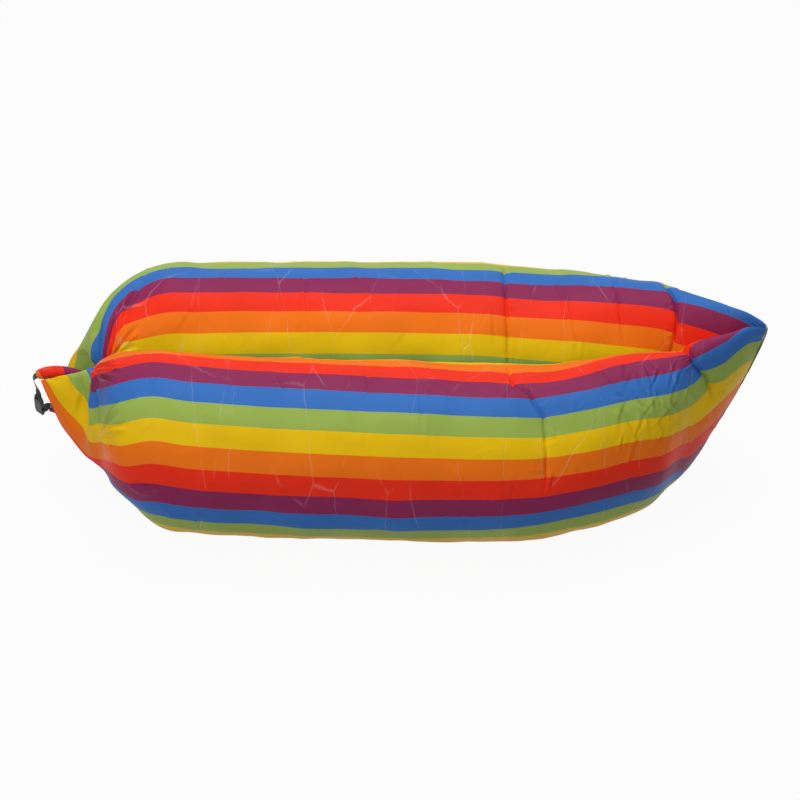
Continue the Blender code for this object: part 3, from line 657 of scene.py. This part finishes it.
def add_stitches(strip, places, headings, normals, thread):
    """Lockstitches sewn into a strip: short thread loops, each sunk at both ends."""
    vertices, cloths, faces = [], [], []
    rings, corners = 5, 6
    for place, heading, normal in zip(places, headings, normals):
        heading = heading / np.linalg.norm(heading)
        side = np.cross(normal, heading)
        first = len(vertices)
        for i in range(rings):
            share = i / (rings - 1)
            lift = math.sin(math.pi * share) * STITCH_RADIUS - 0.5 * STITCH_RADIUS
            middle = place + heading * (share - 0.5) * STITCH_LENGTH + normal * lift
            radius = STITCH_RADIUS * (0.45 + 0.55 * math.sin(math.pi * share))
            for j in range(corners):
                turn = 2 * math.pi * j / corners
                vertices.append(middle + radius * (side * math.cos(turn) + normal * math.sin(turn)))
                cloths.append((share * STITCH_LENGTH, turn * STITCH_RADIUS))
        for i in range(rings - 1):
            for j in range(corners):
                a, b = first + i * corners, j + 1 if j + 1 < corners else 0
                faces.append((a + j, a + b, a + corners + b, a + corners + j))
        faces.append([first + j for j in reversed(range(corners))])
        faces.append([first + (rings - 1) * corners + j for j in range(corners)])
    mesh = bpy.data.meshes.new(f"{strip.name}_stitching")
    mesh.from_pydata([tuple(vertex) for vertex in vertices], [], faces)
    used = [cloths[loop.vertex_index] for loop in mesh.loops]
    mesh.uv_layers.new(name="cloth").data.foreach_set("uv", np.array(used, np.float32).ravel())
    mesh.shade_smooth()
    mesh.materials.append(thread)
    stitching = bpy.data.objects.new(f"{strip.name}_stitching", mesh)
    bpy.context.scene.collection.objects.link(stitching)
    return stitching


def stitch_rows(path, across, offsets, lift, face):
    """Stitch places along a strip, in rows at offsets across it, on one of its two faces."""
    along, sideways, through = strip_frames(path, across)
    walked = np.concatenate([[0], np.cumsum(np.linalg.norm(np.diff(path, axis=0), axis=1))])
    at = np.arange(STITCH_PITCH, walked[-1] - STITCH_PITCH / 2, STITCH_PITCH)
    at_each = lambda values: np.stack([np.interp(at, walked, values[:, k]) for k in range(3)], axis=1)
    middles, headings, sides, outs = (at_each(values) for values in (path, along, sideways, through))
    outs = outs * face
    places = np.concatenate([middles + sides * offset + outs * lift for offset in offsets])
    return places, np.concatenate([headings] * len(offsets)), np.concatenate([outs] * len(offsets))


tape = woven("folded_tape", TAPE_GREEN, 0.55, 0.0009, 0.00012, 0.16)
green_thread = woven("green_thread", THREAD_GREEN, 0.6, 0.0006, 0.0001, 0.1)

KEEL_HEIGHT = 0.016
KEEL_THICKNESS = 0.0010
keel_rows = np.array([tube_section(row)[3] for row in TUBE[:-1]])
keel_path = smooth_between(keel_rows, np.linspace(0, len(keel_rows) - 1, 240))
keel_path[:, 1] = 0
keel_across = np.broadcast_to(np.array((0.0, 0.0, 1.0)), keel_path.shape)
keel_seam = woven_strip("keel_tape", keel_path, keel_across, KEEL_HEIGHT, KEEL_THICKNESS, tape)
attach(keel_seam, "lounger")
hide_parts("keel_seam")

STEM_TAPE_WIDTH = 0.012
STEM_TAPE_THICKNESS = 0.0018
STEM_TAPE_LIFT = 0.0002
STEM_STITCH_ROWS = (-0.0040, 0.0040)
stem_low, _, stem_high, _ = tube_section(TUBE[-1])
stem_low, stem_high = stem_low * (1, 0, 1), stem_high * (1, 0, 1)
stem_slope = (stem_high - stem_low) / np.linalg.norm(stem_high - stem_low)
stem_forward = np.array((stem_slope[2], 0, -stem_slope[0]))
stem_shares = np.linspace(0.006, 1, 120)[:, None]
stem_bow = np.sqrt(1 - (2 * stem_shares - 1) ** 2) * (TUBE[-1][-1], 0, 0)
stem_path = stem_low + (stem_high - stem_low) * stem_shares + stem_bow
stem_path += stem_forward * (STEM_TAPE_LIFT + STEM_TAPE_THICKNESS / 2)
stem_across = np.broadcast_to(np.array((0.0, 1.0, 0.0)), stem_path.shape)
stem_seam = woven_strip(
    "stem_tape", stem_path, stem_across, STEM_TAPE_WIDTH, STEM_TAPE_THICKNESS, tape, ripple=0.0005
)
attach(stem_seam, "lounger")
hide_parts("stem_seam")

_, _, stem_through = strip_frames(stem_path, stem_across)
stem_face = 1 if float(np.dot(stem_through[0], stem_forward)) > 0 else -1
stitch_lift = STEM_TAPE_THICKNESS * 0.46
stem_sewn = stitch_rows(stem_path, stem_across, STEM_STITCH_ROWS, stitch_lift, stem_face)
stem_stitching = add_stitches(stem_seam, *stem_sewn, green_thread)
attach(stem_stitching, "lounger")


# Lip strips: two thin flexible strips of white plastic, each sewn in the hem of one lip of the mouth. They
# lie in the core of the roll and stiffen it. Their solids have the right shape, so only the finish is made.

LIP_WHITE = (0.75, 0.75, 0.72)


def moulded_plastic(name, colour, roughness, grain, grain_depth, wear):
    """Plastic with a fine grain, edges that are rubbed lighter and a roughness that wanders."""
    made, nodes, links, shader = new_finish(name, 0.5)
    place = add_node(nodes, "TexCoord")
    grains = add_node(nodes, "TexNoise", {"Scale": grain, "Detail": 3.0})
    scuffs = add_node(nodes, "TexNoise", {"Scale": 160.0, "Detail": 5.0})
    for pattern in (grains, scuffs):
        links.new(place.outputs["Object"], pattern.inputs["Vector"])
    shape = add_node(nodes, "NewGeometry")
    lightened = map_range(nodes, 0.52, 0.66, 1.0, wear)
    links.new(shape.outputs["Pointiness"], lightened.inputs["Value"])
    tint = add_node(nodes, "VectorMath", {0: colour}, operation="SCALE")
    links.new(lightened.outputs["Result"], tint.inputs["Scale"])
    links.new(tint.outputs["Vector"], shader.inputs["Base Color"])
    handled = map_range(nodes, 0.3, 0.7, roughness - 0.07, roughness + 0.07)
    links.new(scuffs.outputs["Fac"], handled.inputs["Value"])
    links.new(handled.outputs["Result"], shader.inputs["Roughness"])
    bump = add_node(nodes, "Bump", {"Strength": 0.4, "Distance": grain_depth})
    links.new(grains.outputs["Fac"], bump.inputs["Height"])
    links.new(bump.outputs["Normal"], shader.inputs["Normal"])
    return made


lip_plastic = moulded_plastic("flexible_lip_plastic", LIP_WHITE, 0.5, 900.0, 0.00004, 1.1)
for node in ("upper_lip_strip", "lower_lip_strip"):
    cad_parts[node].material_slots[0].material = lip_plastic


# Mouth roll: both lips of the striped taffeta, laid together, rolled over three times and bent round into
# an open ring behind the head end. The stripes cross the roll as bands, and the cloth puckers most on the
# inside of the bend.

RING_CENTRE = np.array((-0.861184, 0.0, 0.243962))
RING_RADIUS = 0.085
RING_TILT = math.radians(20)
RING_UPPER_ARC = math.radians(122)
RING_LOWER_ARC = math.radians(114)
ROLL_RADIUS = 0.0175
ROLL_CORE_RADIUS = 0.0068
ROLL_TURNS = 3
ROLL_LAYER_GAP = 0.0006
RING_STATIONS = 150
ROLL_TURN_POINTS = 22
ROLL_EDGE_TURN = math.radians(215)
ROLL_SEED = 5
RING_RIGHT = np.array((1.0, 0.0, 0.0))
RING_UP = np.array((0.0, -math.sin(RING_TILT), math.cos(RING_TILT)))
RING_NORMAL = np.cross(RING_RIGHT, RING_UP)
# Stripe numbers round the ring from its upper end: orange, red, purple, blue, green, yellow and on
ROLL_PRINT = ((122, 0.86), (116.5, 1.0), (79, 2.0), (42, 3.0), (-63, 7.0), (-100, 8.0), (-114, 8.35))
ROLL_COLOURS = ("orange", "red", "purple", "blue", "green", "yellow")


def ring_outward(angle):
    return RING_RIGHT * math.cos(angle) + RING_UP * math.sin(angle)


def ring_point(angle):
    return RING_CENTRE + RING_RADIUS * ring_outward(angle)


def rolled_mouth():
    pitch = (ROLL_RADIUS + ROLL_LAYER_GAP - ROLL_CORE_RADIUS) / (ROLL_TURNS + 1)
    layer = pitch - ROLL_LAYER_GAP
    wound = 2 * math.pi * np.arange(ROLL_TURNS * ROLL_TURN_POINTS + 1) / ROLL_TURN_POINTS
    inner = ROLL_CORE_RADIUS + pitch * wound / (2 * math.pi)
    turn = np.concatenate([wound, wound[::-1], wound[:1]])
    radius = np.concatenate([inner + layer, inner[::-1], (inner + layer)[:1]])
    outermost = np.clip(turn / (2 * math.pi) - (ROLL_TURNS - 1), 0, 1)
    angles = np.linspace(RING_UPPER_ARC, -RING_LOWER_ARC, RING_STATIONS)
    drawn = random.Random(ROLL_SEED)
    points, stripes = [], []
    ring_degrees = [degrees for degrees, _ in ROLL_PRINT][::-1]
    ring_stripes = [number for _, number in ROLL_PRINT][::-1]
    waves = [(drawn.randint(24, 70), drawn.uniform(0, 6.28), drawn.uniform(-2, 2)) for _ in range(7)]
    for angle in angles:
        crumpled = sum(np.sin(count * angle + phase + lean * turn) for count, phase, lean in waves) / 7
        inside_bend = 0.35 + 0.65 * (1 - np.cos(turn + ROLL_EDGE_TURN)) / 2
        # The end of the roll is squeezed a little by its webbing
        to_end = min(RING_UPPER_ARC - angle, angle + RING_LOWER_ARC) * RING_RADIUS
        squeezed = 1 - 0.16 * math.exp(-to_end / 0.012)
        moved = radius * squeezed + 0.0022 * crumpled * inside_bend * outermost
        out, normal = ring_outward(angle), RING_NORMAL
        flat = 1 - 0.10 * math.exp(-to_end / 0.02)
        facing = turn + ROLL_EDGE_TURN
        sideways = np.cos(facing)[:, None] * out + np.sin(facing)[:, None] * normal * flat
        points.append(ring_point(angle) + moved[:, None] * sideways)
        slant = 0.10 * np.sin(turn + 0.7)
        stripes.append(np.interp(math.degrees(angle), ring_degrees, ring_stripes) + slant)
    points, stripes = np.array(points), np.array(stripes)
    round_ring = np.broadcast_to(((RING_UPPER_ARC - angles) * RING_RADIUS)[:, None], stripes.shape)
    round_roll = np.broadcast_to((turn * radius)[None], stripes.shape)
    prints = np.stack([stripes, round_ring], axis=-1)
    cloths = np.stack([round_ring, round_roll], axis=-1)
    return grid_mesh("rolled_mouth", points, prints, cloths, False, taffeta("rolled_taffeta", ROLL_COLOURS))


mouth_roll = rolled_mouth()
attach(mouth_roll, "lounger")
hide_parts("mouth_roll")


# Side-release buckle: a flat socket, and a plug with a guide tongue and two springy prongs that snap out
# into the socket's side windows. All four pieces are injection moulded in black acetal with a fine grain.

BUCKLE_BLACK = (0.018, 0.018, 0.020)

buckle_plastic = moulded_plastic("black_acetal", BUCKLE_BLACK, 0.36, 2600.0, 0.00005, 2.6)
for node in ("buckle_socket", "buckle_plug", "front_release_prong", "rear_release_prong"):
    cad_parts[node].material_slots[0].material = buckle_plastic


# Webbing: 20 mm black polypropylene. Each piece is sewn to one end of the roll, runs to its half of the
# buckle, loops round the bar there and is sewn back on itself with two rows of black thread.

WEBBING_BLACK = (0.016, 0.016, 0.018)
THREAD_BLACK = (0.035, 0.035, 0.038)
WEBBING_WIDTH = 0.020
WEBBING_THICKNESS = 0.0014
WEBBING_TAIL = 0.020
WEBBING_RISE = 0.010
WEBBING_LEAD = 0.004
WEBBING_PULL_SHARE = 0.35
WEBBING_STITCH_ROWS = (0.62, 0.88)
WEBBING_STITCH_PITCH = 0.0036
LOOP_RADIUS = 0.0026
BUCKLE_PLACE = np.array((-0.920004, 0.003995))
PLUG_BAR_HEIGHT = 0.218252
SOCKET_BAR_HEIGHT = 0.169852
BAR_AXIS = np.array((math.sqrt(0.5), -math.sqrt(0.5), 0.0))
THROUGH_BUCKLE = np.array((math.sqrt(0.5), math.sqrt(0.5), 0.0))
UP = np.array((0.0, 0.0, 1.0))


def webbing_route(roll_angle, leaving, bar, arrive, side_way):
    """The strap's middle line and width directions, from the roll round the bar and back on itself."""
    sewn = ring_point(roll_angle) + leaving * 0.0003
    start = sewn + leaving * WEBBING_LEAD
    into_loop = bar + side_way * LOOP_RADIUS - arrive * WEBBING_RISE
    pull = WEBBING_PULL_SHARE * np.linalg.norm(into_loop - start)
    corners = (start, start + leaving * pull, into_loop - arrive * pull, into_loop)
    path = [sewn]
    across = [RING_NORMAL]
    for k in range(28):
        t = k / 28
        weights = ((1 - t) ** 3, 3 * t * (1 - t) ** 2, 3 * t * t * (1 - t), t**3)
        path.append(sum(weight * corner for weight, corner in zip(weights, corners)))
        across.append(RING_NORMAL * (1 - t) + BAR_AXIS * t)
    for k in range(8):
        path.append(into_loop + arrive * WEBBING_RISE * k / 8)
    for k in range(25):
        angle = math.pi * k / 24
        path.append(bar + LOOP_RADIUS * (side_way * math.cos(angle) + arrive * math.sin(angle)))
    laid_down = 2 * LOOP_RADIUS - 1.08 * WEBBING_THICKNESS
    for k in range(1, 17):
        share = k / 16
        eased = min(share / 0.5, 1)
        eased = eased * eased * (3 - 2 * eased)
        path.append(bar - side_way * (LOOP_RADIUS - laid_down * eased) - arrive * WEBBING_TAIL * share)
    across += [BAR_AXIS] * (len(path) - len(across))
    return np.array(path), np.array(across)


def sewn_webbing(name, roll_angle, leaving, bar, arrive, side_way):
    path, across = webbing_route(roll_angle, leaving, bar, arrive, side_way)
    strap = woven_strip(name, path, across, WEBBING_WIDTH, WEBBING_THICKNESS, black_webbing)
    places, headings, normals = [], [], []
    for share in WEBBING_STITCH_ROWS:
        centre = bar - arrive * WEBBING_TAIL * share + side_way * (LOOP_RADIUS - 1.6 * WEBBING_THICKNESS)
        for k in range(5):
            places.append(centre + BAR_AXIS * (k - 2) * WEBBING_STITCH_PITCH)
            headings.append(BAR_AXIS)
            normals.append(-side_way)
    stitching = add_stitches(strap, places, headings, normals, black_thread)
    return strap, stitching


black_webbing = woven("black_webbing", WEBBING_BLACK, 0.75, 0.0011, 0.0003, 0.35)
black_thread = woven("black_thread", THREAD_BLACK, 0.5, 0.0006, 0.0001, 0.1)
upper_leaving = ring_outward(RING_UPPER_ARC + math.pi / 2)
lower_leaving = ring_outward(-RING_LOWER_ARC - math.pi / 2)
plug_bar = np.array((*BUCKLE_PLACE, PLUG_BAR_HEIGHT))
socket_bar = np.array((*BUCKLE_PLACE, SOCKET_BAR_HEIGHT))

plug_strap, plug_stitching = sewn_webbing(
    "plug_strap", RING_UPPER_ARC, upper_leaving, plug_bar, -UP, THROUGH_BUCKLE
)
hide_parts("plug_webbing")
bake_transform(plug_strap)
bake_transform(plug_stitching)

socket_strap, socket_stitching = sewn_webbing(
    "socket_strap", -RING_LOWER_ARC, lower_leaving, socket_bar, -THROUGH_BUCKLE, UP
)
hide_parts("socket_webbing")
for piece in (socket_strap, socket_stitching):
    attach(piece, "lounger")


# Studio: a pale paper floor and an even white room, which show as one plain background, two soft lamps and
# the camera at the photograph's height and distance.

FLOOR_REACH = 30
FLOOR_DROP = 0.0005
PAPER_GREY = 0.55
PAPER_GLOW_SHARE = 0.95
ROOM_LIGHT = 0.42
ROOM_SEEN = 0.975
CAMERA_LENS = 102.15
CAMERA_RISE = math.radians(37.1)
CAMERA_DISTANCE = 5.84
CAMERA_AIM = Vector((0.010, 0, 0.212))


def seen_directly(nodes, links):
    """1 for a ray that shows the background itself: a camera, transmitted or glossy one."""
    path = add_node(nodes, "LightPath")
    direct = add_node(nodes, "Math", operation="MAXIMUM")
    links.new(path.outputs["Is Camera Ray"], direct.inputs[0])
    links.new(path.outputs["Is Transmission Ray"], direct.inputs[1])
    seen = add_node(nodes, "Math", operation="MAXIMUM")
    links.new(direct.outputs[0], seen.inputs[0])
    links.new(path.outputs["Is Glossy Ray"], seen.inputs[1])
    return seen


floor_mesh = bpy.data.meshes.new("floor")
floor_corners = [(x * FLOOR_REACH, y * FLOOR_REACH, 0) for x, y in ((-1, -1), (1, -1), (1, 1), (-1, 1))]
floor_mesh.from_pydata(floor_corners, [], [(0, 1, 2, 3)])
floor = bpy.data.objects.new("floor", floor_mesh)
bpy.context.scene.collection.objects.link(floor)
floor.location.z = -FLOOR_DROP
paper = bpy.data.materials.new("white_paper")
paper.use_nodes = True
paper_nodes, paper_links = paper.node_tree.nodes, paper.node_tree.links
paper_nodes.clear()
paper_out = add_node(paper_nodes, "OutputMaterial")
paper_matte = add_node(paper_nodes, "BsdfDiffuse", {"Color": (PAPER_GREY, PAPER_GREY, PAPER_GREY, 1)})
paper_glow = add_node(paper_nodes, "Emission", {"Strength": 1.0})
paper_share = add_node(paper_nodes, "Math", {1: PAPER_GLOW_SHARE}, operation="MULTIPLY")
paper_mix = add_node(paper_nodes, "MixShader")
paper_links.new(seen_directly(paper_nodes, paper_links).outputs[0], paper_share.inputs[0])
paper_links.new(paper_share.outputs[0], paper_mix.inputs["Fac"])
paper_links.new(paper_matte.outputs[0], paper_mix.inputs[1])
paper_links.new(paper_glow.outputs[0], paper_mix.inputs[2])
paper_links.new(paper_mix.outputs[0], paper_out.inputs["Surface"])
floor_mesh.materials.append(paper)

room = bpy.data.worlds.new("room")
bpy.context.scene.world = room
room.use_nodes = True
room_nodes, room_links = room.node_tree.nodes, room.node_tree.links
room_light = room_nodes["Background"]
room_light.inputs["Color"].default_value = (1, 1, 1, 1)
room_light.inputs["Strength"].default_value = ROOM_LIGHT
room_seen = add_node(room_nodes, "Background", {"Color": (ROOM_SEEN, ROOM_SEEN, ROOM_SEEN, 1)})
room_mix = add_node(room_nodes, "MixShader")
room_links.new(seen_directly(room_nodes, room_links).outputs[0], room_mix.inputs["Fac"])
room_links.new(room_light.outputs[0], room_mix.inputs[1])
room_links.new(room_seen.outputs[0], room_mix.inputs[2])
room_links.new(room_mix.outputs[0], room_nodes["World Output"].inputs["Surface"])

for name, place, aim, size, power in (
    ("top_softbox", (0.1, 0.7, 3.2), (0, 0, 0.2), 2.2, 57),
    ("front_softbox", (-2.0, -2.4, 2.8), (-0.2, 0, 0.2), 1.4, 38),
):
    softbox = bpy.data.lights.new(name, "AREA")
    softbox.shape = "SQUARE"
    softbox.size = size
    softbox.energy = power
    lamp = bpy.data.objects.new(name, softbox)
    lamp.location = place
    lamp.rotation_euler = (Vector(aim) - Vector(place)).to_track_quat("-Z", "Y").to_euler()
    bpy.context.scene.collection.objects.link(lamp)

camera_data = bpy.data.cameras.new("camera")
camera_data.lens = CAMERA_LENS
camera_data.sensor_width = 36
camera_data.clip_end = 100
camera = bpy.data.objects.new("camera", camera_data)
camera_away = Vector((0, -math.cos(CAMERA_RISE), math.sin(CAMERA_RISE)))
camera.location = CAMERA_AIM + CAMERA_DISTANCE * camera_away
camera.rotation_euler = (math.pi / 2 - CAMERA_RISE, 0, 0)
bpy.context.scene.collection.objects.link(camera)
bpy.context.scene.camera = camera
bpy.context.scene.view_settings.view_transform = "Standard"

bpy.context.view_layer.update()
